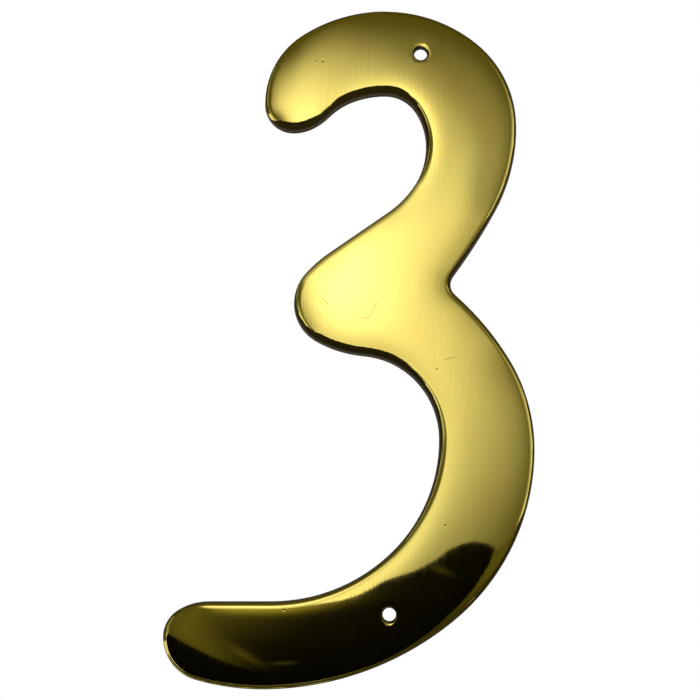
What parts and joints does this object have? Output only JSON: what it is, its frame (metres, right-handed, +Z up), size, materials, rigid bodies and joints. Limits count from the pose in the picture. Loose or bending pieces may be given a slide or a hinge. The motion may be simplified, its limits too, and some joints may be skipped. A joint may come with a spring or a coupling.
{
  "type": "house number",
  "caption": "Polished cast brass figure 3 for a door or wall, with a crowned face, rolled edges, a flat back and plain screw holes for fixing from the front.",
  "frame": {"origin": "midway between the two screw holes, on the flat back that lies against the wall", "axes": "+Z up the figure, +X to the right as the figure is read, +Y out of the back into the wall, so the polished face looks towards -Y"},
  "size_m": [0.0831, 0.004, 0.1524],
  "materials": {
    "brass": "polished"
  },
  "bodies": {
    "root": {"house_number": "brass"}
  },
  "joints": []
}
